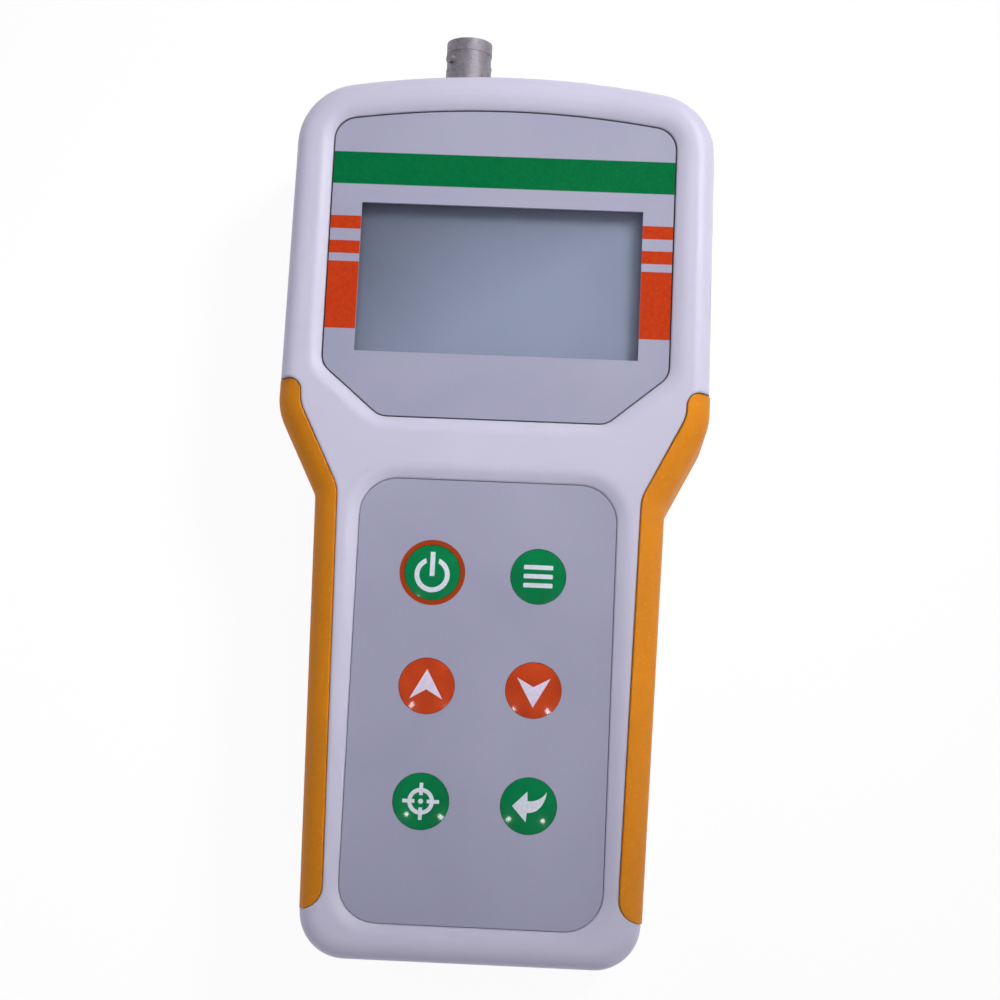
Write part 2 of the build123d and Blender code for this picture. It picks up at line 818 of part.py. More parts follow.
with BuildPart() as board_capacitors:
    with BuildSketch(Plane.XY.offset(board_underside)):
        with Locations(*capacitor_places):
            Circle(capacitor_radius)
    extrude(amount=-capacitor_height)
save(board_capacitors, "board_capacitors")

# Bayonet socket, turned about its own axis and then drawn as lengths back from its mouth
tail_y = flange_seat_y - socket_flange_thickness - socket_tail_length
lug_root = (socket_bore_radius + socket_rim_radius) / 2
with BuildPart() as socket_body:
    with BuildSketch(Plane(origin=(socket_offset, 0, socket_height), x_dir=(1, 0, 0), z_dir=(0, 0, 1))):
        with BuildLine():
            Polyline(
                (socket_bore_radius, mouth_y),
                (socket_rim_radius, mouth_y),
                (socket_rim_radius, mouth_y - socket_rim_length),
                (socket_waist_radius, mouth_y - socket_rim_length),
                (socket_waist_radius, mouth_y - socket_rim_length - socket_waist_length),
                (socket_barrel_radius, mouth_y - socket_rim_length - socket_waist_length),
                (socket_barrel_radius, flange_seat_y),
                (socket_flange_radius, flange_seat_y),
                (socket_flange_radius, flange_seat_y - socket_flange_thickness),
                (socket_tail_radius, flange_seat_y - socket_flange_thickness),
                (socket_tail_radius, tail_y),
                (insulator_radius + insulator_gap, tail_y),
                (insulator_radius + insulator_gap, mouth_y - socket_well_depth),
                (socket_well_radius, mouth_y - socket_well_depth),
                (socket_well_radius, mouth_y - socket_bore_depth),
                (socket_bore_radius, mouth_y - socket_bore_depth),
                close=True,
            )
        make_face()
    revolve(axis=Axis((socket_offset, 0, socket_height), (0, 1, 0)))
    for turn in (-lug_angle, 180 - lug_angle):
        lug_centre = (socket_offset, mouth_y - lug_from_mouth, socket_height)
        lug_plane = Plane(origin=lug_centre).rotated((0, turn, 0))
        with BuildSketch(lug_plane.offset(lug_root)):
            Circle(lug_radius)
        extrude(amount=lug_reach - lug_root)
save(socket_body, "socket_body")

with BuildPart() as socket_insulator:
    with BuildSketch(socket_plane.offset(tail_y)):
        Circle(insulator_radius)
        Circle(contact_radius + insulator_gap, mode=Mode.SUBTRACT)
    extrude(amount=mouth_y - socket_bore_depth - contact_sink - tail_y)
save(socket_insulator, "socket_insulator")

contact_mouth_y = mouth_y - socket_bore_depth - 2 * contact_sink
contact_end_y = tail_y - contact_tail_length
with BuildPart() as socket_contact:
    with BuildSketch(socket_plane.offset(tail_y)):
        Circle(contact_radius)
    extrude(amount=contact_mouth_y - tail_y)
    with BuildSketch(socket_plane.offset(contact_mouth_y)):
        Circle(contact_bore_radius)
    extrude(amount=-contact_bore_depth, mode=Mode.SUBTRACT)
    with BuildSketch(socket_plane.offset(contact_end_y)):
        Circle(contact_tail_radius)
    extrude(amount=contact_tail_length)
save(socket_contact, "socket_contact")

with BuildPart() as socket_washer:
    with BuildSketch(socket_plane.offset(nut_seat_y)):
        Circle(washer_radius)
        Circle(socket_barrel_radius + socket_hole_gap, mode=Mode.SUBTRACT)
    extrude(amount=washer_thickness)
save(socket_washer, "socket_washer")

with BuildPart() as socket_nut:
    with BuildSketch(socket_plane.offset(nut_seat_y + washer_thickness)):
        RegularPolygon(nut_across_flats / 2, 6, major_radius=False)
        Circle(socket_barrel_radius + socket_hole_gap, mode=Mode.SUBTRACT)
    extrude(amount=nut_thickness)
save(socket_nut, "socket_nut")

# Temperature socket: a small jack with a round nut
with BuildPart() as temperature_jack:
    with BuildSketch(jack_plane.offset(end_wall_y)):
        RectangleRounded(jack_body_width, jack_body_width, jack_body_corner)
    extrude(amount=-jack_body_length)
    with BuildSketch(jack_plane.offset(end_wall_y)):
        Circle(jack_collar_radius)
    extrude(amount=jack_mouth_y - end_wall_y)
    with BuildSketch(jack_plane.offset(jack_mouth_y)):
        Circle(jack_bore_radius)
    extrude(amount=-jack_bore_depth, mode=Mode.SUBTRACT)
save(temperature_jack, "temperature_jack")

with BuildPart() as temperature_jack_nut:
    with BuildSketch(jack_plane.offset(jack_seat_y)):
        Circle(jack_nut_radius)
        Circle(jack_collar_radius + socket_hole_gap, mode=Mode.SUBTRACT)
    extrude(amount=jack_nut_thickness)
save(temperature_jack_nut, "temperature_jack_nut")

# Battery door: a flat slide whose foot follows the rounded end of the housing
door_length = door_head + half_length
door_y = (door_head - half_length) / 2
groove_places = [
    (0, door_head - door_grooves_from_end - place * door_groove_pitch) for place in range(door_groove_count)
]
with BuildPart() as battery_door:
    with BuildSketch(Plane.XY.offset(door_sink)):
        with Locations((0, door_y)):
            Rectangle(2 * door_half_width, door_length)
    extrude(amount=door_thickness)
    with BuildSketch(Plane.XY.offset(door_lip + door_gap)):
        with Locations((0, door_y)):
            Rectangle(2 * (bay_half_width - door_gap), door_length)
    extrude(amount=door_top - door_lip - door_gap)
    with BuildSketch(Plane.XY.offset(door_sink)):
        with Locations(*groove_places):
            SlotOverall(door_groove_length, door_groove_width)
    extrude(amount=door_groove_depth, mode=Mode.SUBTRACT)
    add(housing_block.part, mode=Mode.INTERSECT)
save(battery_door, "battery_door")

# Cells, laid side by side with every second one turned round
with BuildPart() as battery_cells:
    for place, cell_x in enumerate(cell_places):
        nub_out = 1 if place % 2 == 0 else -1
        cell_plane = Plane(
            origin=(cell_x, bay_y + nub_out * (bay_length / 2 - plate_thickness), cell_height),
            x_dir=(1, 0, 0),
            z_dir=(0, -nub_out, 0),
        )
        with BuildSketch(cell_plane):
            Circle(cell_nub_radius)
        extrude(amount=cell_nub_length)
        with BuildSketch(cell_plane.offset(cell_nub_length)):
            Circle(cell_radius)
        extrude(amount=cell_length - cell_nub_length)
save(battery_cells, "battery_cells")

# Contact plates at both ends of the bay, and the sprung leaves that push the cells
with BuildPart() as contact_plates:
    for end in (-1, 1):
        wall_plane = Plane(
            origin=(0, bay_y + end * bay_length / 2, cell_height), x_dir=(1, 0, 0), z_dir=(0, -end, 0)
        )
        lone = cell_places[0] if end < 0 else cell_places[-1]
        pair = (cell_places[1] + cell_places[2]) / 2 if end < 0 else (cell_places[0] + cell_places[1]) / 2
        up = end
        with BuildSketch(wall_plane):
            with Locations((lone, 0)):
                Rectangle(plate_size, plate_size)
            with Locations((pair, 0)):
                Rectangle(plate_size + cell_places[1] - cell_places[0], plate_size)
            with Locations((lone, up * (bay_roof + tag_rise - cell_height) / 2)):
                Rectangle(tag_width, bay_roof + tag_rise - cell_height)
        extrude(amount=plate_thickness)
save(contact_plates, "contact_plates")

with BuildPart() as contact_leaves:
    for place, cell_x in enumerate(cell_places):
        end = -1 if place % 2 == 0 else 1
        leaf_foot_y = bay_y + end * (bay_length / 2 - plate_thickness)
        half_sheet = leaf_thickness / 2
        with BuildSketch(Plane(origin=(cell_x, 0, 0), x_dir=(0, 1, 0), z_dir=(1, 0, 0))):
            with BuildLine():
                Polyline(
                    (leaf_foot_y - end * half_sheet, cell_height - leaf_half_height),
                    (leaf_foot_y - end * (leaf_height - half_sheet), cell_height - leaf_crest / 2),
                    (leaf_foot_y - end * (leaf_height - half_sheet), cell_height + leaf_crest / 2),
                    (leaf_foot_y - end * half_sheet, cell_height + leaf_half_height),
                )
            trace(line_width=leaf_thickness)
        extrude(amount=leaf_width / 2, both=True)
save(contact_leaves, "contact_leaves")

# Case screws from the rear and board screws from below
with BuildPart() as case_screws:
    with BuildSketch(Plane.XY.offset(case_screw_sink)):
        with Locations(*case_screw_places):
            Circle(case_screw_head_radius)
    extrude(amount=case_screw_head_height)
    with BuildSketch(Plane.XY.offset(case_screw_sink + case_screw_head_height)):
        with Locations(*case_screw_places):
            Circle(case_screw_radius)
    extrude(amount=parting_height + case_screw_reach - case_screw_sink - case_screw_head_height)
    with BuildSketch(Plane.XY.offset(case_screw_sink)):
        with Locations(*case_screw_places):
            Rectangle(screw_cross_length, screw_cross_width)
            Rectangle(screw_cross_width, screw_cross_length)
    extrude(amount=screw_cross_depth, mode=Mode.SUBTRACT)
save(case_screws, "case_screws")

with BuildPart() as board_screws:
    with BuildSketch(Plane.XY.offset(board_underside - board_screw_head_height)):
        with Locations(*post_places):
            Circle(board_screw_head_radius)
    extrude(amount=board_screw_head_height)
    with BuildSketch(Plane.XY.offset(board_underside)):
        with Locations(*post_places):
            Circle(board_screw_radius)
    extrude(amount=board_thickness + board_screw_reach)
save(board_screws, "board_screws")


def lead_along(points, bend):
    """Returns a round wire along straight runs joined by tangent arcs."""
    with BuildPart() as lead:
        with BuildLine() as route:
            FilletPolyline(*points, radius=bend)
        start = route.line @ 0
        with BuildSketch(Plane(origin=start, z_dir=route.line % 0)):
            Circle(lead_radius)
        sweep(path=route.line)
    return lead.part


# Leads inside the case
battery_tag_top = bay_roof + tag_rise
foot_tag_x, foot_tag_y = leaf_tags[0]
head_tag_x, head_tag_y = leaf_tags[1]
lead_level = battery_tag_top + lead_bend_small + lead_straight
foot_lead = lead_along(
    [
        (foot_tag_x, foot_tag_y, battery_tag_top),
        (foot_tag_x, foot_tag_y, lead_level),
        (foot_tag_x, board_foot + lead_landing, lead_level),
        (foot_tag_x, board_foot + lead_landing, board_underside),
    ],
    lead_bend_small,
)
with BuildPart() as battery_leads:
    add(foot_lead)
    with BuildSketch(Plane(origin=(head_tag_x, head_tag_y, battery_tag_top))):
        Circle(lead_radius)
    extrude(amount=board_underside - battery_tag_top)
save(battery_leads, "battery_leads")

jack_end_y = end_wall_y - jack_body_length
sensor_runs = [
    lead_along(
        [
            (lead_x, lead_y, socket_height),
            (lead_x, lead_y - lead_run, socket_height),
            (lead_x, lead_y - lead_run, board_underside),
        ],
        lead_bend,
    )
    for lead_x, lead_y in ((socket_offset, contact_end_y), (jack_offset, jack_end_y))
]
with BuildPart() as sensor_leads:
    add(sensor_runs)
save(sensor_leads, "sensor_leads")
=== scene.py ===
"""Looks of the portable conductivity meter: materials, printed marks, light and camera."""

import math

import bmesh
import bpy
from mathutils import Matrix, Vector
from mathutils.geometry import delaunay_2d_cdt, interpolate_bezier


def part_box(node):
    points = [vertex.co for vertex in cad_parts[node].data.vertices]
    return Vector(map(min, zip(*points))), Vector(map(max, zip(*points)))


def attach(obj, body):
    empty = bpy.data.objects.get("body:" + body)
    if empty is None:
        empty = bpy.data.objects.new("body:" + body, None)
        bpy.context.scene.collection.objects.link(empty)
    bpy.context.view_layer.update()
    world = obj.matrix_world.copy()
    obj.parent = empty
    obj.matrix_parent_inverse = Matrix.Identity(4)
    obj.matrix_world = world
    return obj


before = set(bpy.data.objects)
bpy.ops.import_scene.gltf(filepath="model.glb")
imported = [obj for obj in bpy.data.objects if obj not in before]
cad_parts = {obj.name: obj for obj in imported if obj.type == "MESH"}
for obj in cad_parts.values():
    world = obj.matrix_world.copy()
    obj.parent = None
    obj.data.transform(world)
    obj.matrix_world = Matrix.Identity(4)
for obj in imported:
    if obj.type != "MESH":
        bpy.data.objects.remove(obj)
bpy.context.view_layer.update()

MM = 0.001

# Prints on the display panel, in millimetres below its top
BAND = (9.5, 16.3)
BARS = ((23.1, 25.85), (28.35, 31.05), (32.7, 46.75))

# Display window, and the part of the display outside the painted shadow of its frame, in millimetres
WINDOW_HALF_WIDTH = 28.7
WINDOW_MIDDLE_FROM_TOP = 35.7
BRIGHT_HALF_WIDTH = 28.3
BRIGHT_BELOW = 15.3
BRIGHT_ABOVE = 16.5

# Limits of a print, in millimetres from the middle: none on the inside, and past the panel's edge
NO_INNER_LIMIT = -1.0
PAST_EDGE = 40.0

# Keys and the ring printed round the power key, in millimetres
KEY_RADIUS = 5.5
KEY_CROWN = 0.5
POWER_RING_RADIUS = 6.54
POWER_RING_SOFTNESS = 0.04

# Painted shade round the display panel: how far a surface looks for shelter, and where the shade starts
# along Y, in metres
GAP_SHADE_REACH = 0.0009
GAP_SHADE_START = (0.008, 0.014)

# Printed marks on the keys, in millimetres
MARK_STEP = 0.3
MARK_GRID = 17
MARK_CURVE_POINTS = 13
MARK_LIFT = 0.015
MARK_THICKNESS = 0.02

# Places read from the CAD model, in millimetres
PANEL_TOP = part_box("display_panel")[1].y / MM
WINDOW_MIDDLE = PANEL_TOP - WINDOW_MIDDLE_FROM_TOP
KEY_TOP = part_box("key_power")[1].z / MM
KEY_AT = {}
for key in ("power", "menu", "up", "down", "calibrate", "enter"):
    lowest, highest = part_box(f"key_{key}")
    middle = (lowest + highest) / 2 / MM
    KEY_AT[key] = (middle.x, middle.y)


def srgb(red, green, blue):
    """A colour written as 0 to 255, returned as linear values."""
    def linear(value):
        value /= 255
        return value / 12.92 if value <= 0.04045 else ((value + 0.055) / 1.055) ** 2.4
    return (linear(red), linear(green), linear(blue), 1.0)


def shade(colour, factor, lift=0.0):
    """A colour made lighter or darker by a factor, and lifted by a little white."""
    return tuple(min(1.0, part * factor + lift) for part in colour[:3]) + (1.0,)


def mix_shaders(tree, share, first, second, target):
    """Links to the target the first shader, with the second one over it by the share."""
    both = tree.nodes.new("ShaderNodeMixShader")
    for socket, source in zip(both.inputs, (share, first, second)):
        tree.links.new(source, socket)
    tree.links.new(both.outputs[0], target)


class Look:
    """A material and short calls that add nodes to it."""

    def __init__(self, name):
        self.material = bpy.data.materials.new(name)
        self.material.use_nodes = True
        self.tree = self.material.node_tree
        self.nodes = self.tree.nodes
        self.shader = self.nodes["Principled BSDF"]
        self.place = self.nodes.new("ShaderNodeTexCoord").outputs["Object"]

    def put(self, socket, value):
        """Links a node's output to a socket, or sets the socket to a plain value."""
        if isinstance(value, bpy.types.NodeSocket):
            self.tree.links.new(value, socket)
        else:
            socket.default_value = value

    def set(self, **values):
        """Gives values to the shader's sockets, named with _ for a space."""
        for name, value in values.items():
            self.put(self.shader.inputs[name.replace("_", " ")], value)

    def lay_over(self, share, shader):
        """Shows another shader over the material's own, by the share."""
        surface = self.nodes["Material Output"].inputs["Surface"]
        mix_shaders(self.tree, share, self.shader.outputs[0], shader, surface)

    def math(self, operation, first, second=0.0):
        node = self.nodes.new("ShaderNodeMath")
        node.operation = operation
        for socket, value in zip(node.inputs, (first, second)):
            self.put(socket, value)
        return node.outputs[0]

    def noise(self, scale, detail=2.0, rough=0.5, distortion=0.0, where=None):
        node = self.nodes.new("ShaderNodeTexNoise")
        self.put(node.inputs["Vector"], where or self.place)
        node.inputs["Scale"].default_value = scale
        node.inputs["Detail"].default_value = detail
        node.inputs["Roughness"].default_value = rough
        node.inputs["Distortion"].default_value = distortion
        return node.outputs["Fac"]

    def wear(self, scale):
        """A slow, uneven value round 0.5 for smudges and handling marks."""
        return self.noise(scale, detail=5.0, rough=0.62, distortion=0.6)

    def cells(self, scale):
        """The distance to the nearest of many scattered points."""
        node = self.nodes.new("ShaderNodeTexVoronoi")
        self.put(node.inputs["Vector"], self.place)
        node.inputs["Scale"].default_value = scale
        return node.outputs["Distance"]

    def ramp(self, value, *stops):
        """Maps a value to colours at (place, colour) stops."""
        node = self.nodes.new("ShaderNodeValToRGB")
        self.put(node.inputs[0], value)
        elements = node.color_ramp.elements
        while len(elements) < len(stops):
            elements.new(0.5)
        for element, (at, colour) in zip(elements, stops):
            element.position = at
            element.color = colour
        return node.outputs["Color"]

    def grade(self, value, low, high, to_low, to_high):
        """Maps one range of numbers to another, clamped."""
        node = self.nodes.new("ShaderNodeMapRange")
        for socket, number in zip(node.inputs, (value, low, high, to_low, to_high)):
            self.put(socket, number)
        return node.outputs[0]

    def vary(self, noise, to_low=0.0, to_high=1.0):
        """Maps the range that most of a noise lies in to another."""
        return self.grade(noise, 0.3, 0.7, to_low, to_high)

    def mix(self, share, first, second):
        """The first colour, with the second one over it by the share."""
        node = self.nodes.new("ShaderNodeMix")
        node.data_type = "RGBA"
        sockets = (node.inputs["Factor"], node.inputs[6], node.inputs[7])
        for socket, value in zip(sockets, (share, first, second)):
            self.put(socket, value)
        return node.outputs[2]

    def bump(self, height, strength, distance, normal=None):
        node = self.nodes.new("ShaderNodeBump")
        node.inputs["Strength"].default_value = strength
        node.inputs["Distance"].default_value = distance
        self.put(node.inputs["Height"], height)
        if normal is not None:
            self.put(node.inputs["Normal"], normal)
        return node.outputs["Normal"]

    def soft_edges(self, radius):
        """A normal that rounds sharp edges."""
        node = self.nodes.new("ShaderNodeBevel")
        node.samples = 6
        node.inputs["Radius"].default_value = radius
        return node.outputs["Normal"]

    def axes(self):
        """X, Y and Z of the shared frame, in metres."""
        node = self.nodes.new("ShaderNodeSeparateXYZ")
        self.put(node.inputs[0], self.place)
        return node.outputs


def moulded(name, colour, roughness, variation, edge, grain=3600, painted_gap_shade=False):
    """Moulded plastic: fine spark-eroded grain, slight colour drift, handled patches.

    Optionally, painted shade darkens the sheltered gap round the display panel.
    """
    look = Look(name)
    base = look.mix(look.vary(look.wear(38)), shade(colour, 1 - variation), shade(colour, 1 + variation))
    # Painted shade: sheltered housing near the display panel is darkened toward brown-grey
    if painted_gap_shade:
        shelter = look.nodes.new("ShaderNodeAmbientOcclusion")
        shelter.samples = 6
        shelter.inputs["Distance"].default_value = GAP_SHADE_REACH
        near_display = look.grade(look.axes()[1], *GAP_SHADE_START, 0, 1)
        gap_darkness = look.grade(shelter.outputs["AO"], 0.4, 0.8, 0.9, 0.0)
        base = look.mix(look.math("MULTIPLY", gap_darkness, near_display), base, srgb(80, 70, 66))
    look.set(Base_Color=base)
    look.set(Roughness=look.vary(look.wear(90), roughness - 0.05, roughness + 0.07))
    fine = look.noise(grain, detail=3.0, rough=0.6)
    look.set(Normal=look.bump(fine, 0.35, 0.00003, look.soft_edges(edge)))
    return look.material


def metal(name, colour, roughness, pits=0.0, scratch=0.0):
    """Bare or plated metal: drifting tint, worn roughness, optional casting pits or scratches."""
    look = Look(name)
    cloud = look.noise(420, detail=5.0, rough=0.65, distortion=0.8)
    base = look.mix(look.grade(cloud, 0.32, 0.68, 0, 1), shade(colour, 0.76), shade(colour, 1.12))
    height = look.noise(2400, detail=4.0, rough=0.65)
    if pits:
        spots = look.noise(1500, detail=3.0, rough=0.7, distortion=0.5)
        holes = look.grade(spots, 0.58, 0.66, 0, 1)
        base = look.mix(look.math("MULTIPLY", holes, 0.75), base, shade(colour, 0.3))
        surface = look.math("MULTIPLY", height, 0.35)
        height = look.math("SUBTRACT", surface, look.math("MULTIPLY", holes, pits))
    if scratch:
        stretched = look.nodes.new("ShaderNodeMapping")
        look.put(stretched.inputs["Vector"], look.place)
        stretched.inputs["Scale"].default_value = (1.0, 18.0, 1.0)
        lines = look.noise(900, detail=2.0, where=stretched.outputs[0])
        height = look.math("ADD", height, look.math("MULTIPLY", lines, scratch))
    look.set(Base_Color=base, Metallic=1.0)
    look.set(Roughness=look.vary(cloud, roughness - 0.08, roughness + 0.12))
    look.set(Normal=look.bump(height, 0.4, 0.00005, look.soft_edges(0.00012)))
    return look.material


def box_mask(look, x_low, x_high, y_low, y_high, soft=0.05):
    """1 inside a rectangle and 0 outside, on both sides of X = 0, in millimetres."""
    axes = look.axes()
    across = look.math("ABSOLUTE", axes[0])
    mask = look.grade(across, (x_low - soft) * MM, (x_low + soft) * MM, 0, 1)
    for value, edge, inside, outside in (
        (across, x_high, 1, 0),
        (axes[1], y_low, 0, 1),
        (axes[1], y_high, 1, 0),
    ):
        part = look.grade(value, (edge - soft) * MM, (edge + soft) * MM, inside, outside)
        mask = look.math("MULTIPLY", mask, part)
    return mask


def band_and_bars(look, base):
    """Prints the green band and the orange bars; returns the colour, and where it is printed."""
    drift = look.vary(look.noise(1400, detail=3.0))
    green = look.mix(drift, srgb(0, 110, 58), srgb(0, 121, 66))
    orange = look.mix(drift, srgb(198, 58, 20), srgb(212, 68, 25))
    printed = box_mask(look, NO_INNER_LIMIT, PAST_EDGE, PANEL_TOP - BAND[1], PANEL_TOP - BAND[0])
    base = look.mix(printed, base, green)
    for top, foot in BARS:
        bars = box_mask(look, WINDOW_HALF_WIDTH, PAST_EDGE, PANEL_TOP - foot, PANEL_TOP - top)
        base = look.mix(bars, base, orange)
        printed = look.math("MAXIMUM", printed, bars)
    return base, printed


def power_key_ring(look, base):
    """Prints the ring round the power key; returns the colour, and where it is printed."""
    squares = [
        look.math("POWER", look.math("SUBTRACT", axis, centre * MM), 2.0)
        for axis, centre in zip(look.axes(), KEY_AT["power"])
    ]
    reach = look.math("SQRT", look.math("ADD", *squares))
    inner = (POWER_RING_RADIUS - POWER_RING_SOFTNESS) * MM
    outer = (POWER_RING_RADIUS + POWER_RING_SOFTNESS) * MM
    printed = look.grade(reach, inner, outer, 1, 0)
    return look.mix(printed, base, srgb(172, 66, 24)), printed


def printed_film(name, add_print):
    """Printed film on a plate: faintly clouded and speckled silver-grey, with matt print on it."""
    look = Look(name)
    cloud = look.noise(22, detail=3.0, rough=0.5, distortion=0.4)
    speck = look.noise(5200, detail=2.0)
    base = look.mix(look.vary(cloud), srgb(164, 164, 189), srgb(177, 177, 200))
    base = look.mix(look.grade(speck, 0.35, 0.65, 0, 0.12), base, srgb(212, 212, 226))
    base, printed = add_print(look, base)
    look.set(Base_Color=base)
    look.set(Specular_IOR_Level=look.grade(printed, 0, 1, 0.5, 0.08))
    look.set(Coat_Weight=look.grade(printed, 0, 1, 0.25, 0.0), Coat_Roughness=0.22)
    look.set(Roughness=look.vary(look.wear(70), 0.3, 0.42))
    fine = look.bump(look.noise(4200, detail=2.0), 0.12, 0.00002)
    look.set(Normal=look.bump(look.noise(45, detail=2.0), 0.12, 0.0003, fine))
    return look.material


def rubber(name, colour):
    """Soft moulded rubber: matt, with faint pale specks, paler where it is rubbed."""
    look = Look(name)
    fine = look.noise(3000, detail=4.0, rough=0.7)
    speck = look.noise(1500, detail=2.0, rough=0.6)
    slow = look.wear(45)
    base = look.mix(look.vary(slow), shade(colour, 0.91), shade(colour, 1.08))
    base = look.mix(look.grade(speck, 0.58, 0.72, 0, 0.5), base, shade(colour, 1.3, lift=0.01))
    look.set(Base_Color=base)
    look.set(Roughness=look.vary(slow, 0.5, 0.66))
    look.set(Normal=look.bump(fine, 0.5, 0.00008, look.soft_edges(0.0004)))
    look.set(Specular_IOR_Level=0.25)
    return look.material


def dome(name, colour):
    """Glossy domed key: deep colour under a clear coat."""
    look = Look(name)
    drift = look.noise(160, detail=2.0)
    look.set(Base_Color=look.mix(look.vary(drift), shade(colour, 0.85), shade(colour, 1.12)))
    look.set(Roughness=look.vary(look.wear(300), 0.16, 0.28))
    look.set(Normal=look.bump(look.noise(700, detail=2.0), 0.1, 0.00003))
    look.set(Specular_IOR_Level=0.06, Coat_Weight=0.4, Coat_Roughness=0.07)
    return look.material


def ink(name, colour):
    """Pale print, slightly uneven."""
    look = Look(name)
    drift = look.noise(1800, detail=3.0)
    look.set(Base_Color=look.mix(look.vary(drift), shade(colour, 0.95), colour))
    look.set(Roughness=look.vary(drift, 0.22, 0.32))
    look.set(Coat_Weight=0.3, Coat_Roughness=0.08)
    return look.material


def clear_window(name):
    """Clear acrylic that lets lamps through to the display."""
    look = Look(name)
    look.set(Base_Color=(0.93, 0.96, 0.97, 1.0), Transmission_Weight=1.0, IOR=1.49)
    look.set(Roughness=look.vary(look.wear(120), 0.0, 0.05))
    ray = look.nodes.new("ShaderNodeLightPath")
    clear = look.nodes.new("ShaderNodeBsdfTransparent")
    clear.inputs["Color"].default_value = (0.9, 0.93, 0.94, 1.0)
    look.lay_over(ray.outputs["Is Shadow Ray"], clear.outputs[0])
    return look.material


def crystal(name):
    """Liquid crystal cell: dusty grey polariser film, with a painted sheen that makes it paler to the lower
    right and a painted shadow that darkens it at its frame.
    """
    look = Look(name)
    axes = look.axes()
    # Painted sheen: the film's colour grows paler towards the lower right of the window
    down = look.math("SUBTRACT", WINDOW_MIDDLE * MM, axes[1])
    painted_sheen = look.math("ADD", look.math("MULTIPLY", axes[0], 9.0), look.math("MULTIPLY", down, 17.0))
    cloud = look.math("MULTIPLY", look.noise(26, detail=2.0, distortion=0.5), 0.45)
    base = look.ramp(
        look.grade(look.math("ADD", cloud, painted_sheen), -0.18, 0.8, 0, 1),
        (0.0, srgb(88, 93, 111)),
        (0.55, srgb(125, 129, 150)),
        (1.0, srgb(130, 133, 154)),
    )
    # Painted shadow of the window frame: outside the bright part, the film is darkened toward a dull violet
    low, high = WINDOW_MIDDLE - BRIGHT_BELOW, WINDOW_MIDDLE + BRIGHT_ABOVE
    inside = box_mask(look, NO_INNER_LIMIT, BRIGHT_HALF_WIDTH, low, high, soft=0.35)
    base = look.mix(look.grade(inside, 0, 1, 0.4, 0.0), base, srgb(70, 72, 92))
    dust = look.grade(look.cells(420), 0.0, 0.07, 1, 0)
    base = look.mix(look.math("MULTIPLY", dust, 0.35), base, srgb(170, 182, 196))
    look.set(Base_Color=base)
    look.set(Roughness=look.vary(look.wear(160), 0.32, 0.45))
    look.set(Normal=look.bump(look.noise(3800, detail=2.0), 0.1, 0.00002))
    return look.material


def circuit(name):
    """Green solder mask over copper tracks."""
    look = Look(name)
    axes = look.axes()
    step_x = look.math("PINGPONG", axes[0], 0.0009)
    wander = look.math("ADD", axes[1], look.math("MULTIPLY", look.noise(60), 0.004))
    step_y = look.math("PINGPONG", wander, 0.0026)
    along = look.grade(step_x, 0.0005, 0.00056, 0, 1)
    across = look.grade(step_y, 0.0008, 0.0009, 0, 1)
    track = look.math("MULTIPLY", along, across)
    look.set(Base_Color=look.mix(look.math("MULTIPLY", track, 0.5), srgb(18, 92, 48), srgb(58, 140, 78)))
    look.set(Roughness=look.vary(look.noise(900), 0.3, 0.42))
    look.set(Normal=look.bump(track, 0.4, 0.00003))
    return look.material


def add_object(name, data):
    """Adds an object with its data to the scene."""
    item = bpy.data.objects.new(name, data)
    bpy.context.scene.collection.objects.link(item)
    return item


# Materials of the CAD nodes
housing = moulded("housing_plastic", srgb(216, 213, 233), 0.4, variation=0.025, edge=0.001, painted_gap_shade=True)
grip = rubber("grip_rubber", srgb(234, 143, 10))
silicone = rubber("silicone_rubber", srgb(120, 120, 126))
foam = rubber("foam_rubber", srgb(32, 32, 34))
black = moulded("black_plastic", srgb(34, 34, 36), 0.42, variation=0.12, edge=0.0002)
milky = moulded("milky_plastic", srgb(228, 232, 228), 0.3, variation=0.03, edge=0.0002)
white_ptfe = moulded("insulator_plastic", srgb(232, 230, 224), 0.4, variation=0.04, edge=0.0002)
chip = moulded("chip_epoxy", srgb(30, 30, 32), 0.55, variation=0.12, edge=0.0001, grain=5200)
sleeve = moulded("cell_sleeve", srgb(60, 64, 78), 0.3, variation=0.06, edge=0.0005)
lead = moulded("lead_sleeve", srgb(176, 40, 32), 0.45, variation=0.08, edge=0.0001)
key_green = dome("key_green", srgb(0, 133, 75))
key_orange = dome("key_orange", srgb(210, 73, 28))
nickel = metal("dull_nickel", srgb(162, 157, 164), 0.6, pits=2.2)
plated = metal("bright_nickel", srgb(196, 194, 196), 0.28)
zinc = metal("zinc_plate", srgb(178, 180, 186), 0.36, scratch=0.5)
can = metal("capacitor_can", srgb(205, 206, 208), 0.3, scratch=0.4)
gold = metal("gold_flash", srgb(214, 176, 96), 0.3)
board = circuit("circuit_board")
lcd = crystal("display_film")
window = clear_window("window_acrylic")
panel_print = printed_film("display_panel_print", band_and_bars)
keypad_print = printed_film("keypad_print", power_key_ring)

